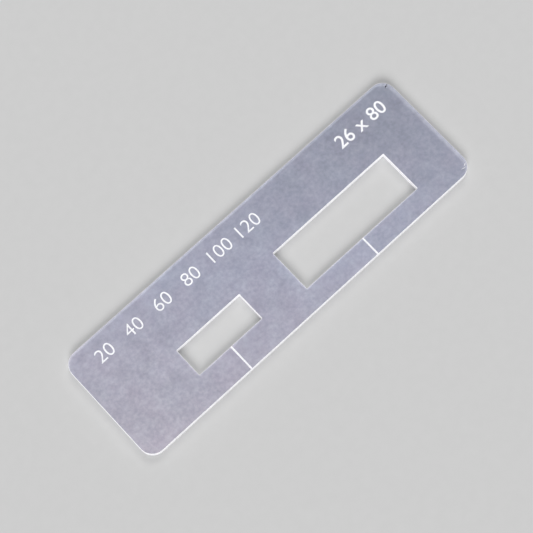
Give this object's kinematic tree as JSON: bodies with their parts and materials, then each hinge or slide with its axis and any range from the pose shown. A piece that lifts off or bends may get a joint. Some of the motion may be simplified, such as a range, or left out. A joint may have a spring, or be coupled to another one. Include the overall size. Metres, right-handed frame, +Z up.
{
  "type": "lock routing template",
  "caption": "Flat clear acrylic sheet with round corners, rectangular guide bush windows and engraved centre marks, for routing a lock mortise and its face plate rebate.",
  "frame": {"origin": "middle of the underside of the sheet, on the surface that it lies on", "axes": "+X along the length towards the face plate window, +Y away from the reference edge, +Z up out of the engraved face"},
  "size_m": [0.23, 0.0694, 0.0045],
  "materials": {
    "clear_acrylic": "clear polished acrylic with a faint lilac haze, frosted white laser-cut edges and white engraving"
  },
  "bodies": {
    "root": {"template_sheet": "clear_acrylic"}
  },
  "joints": []
}
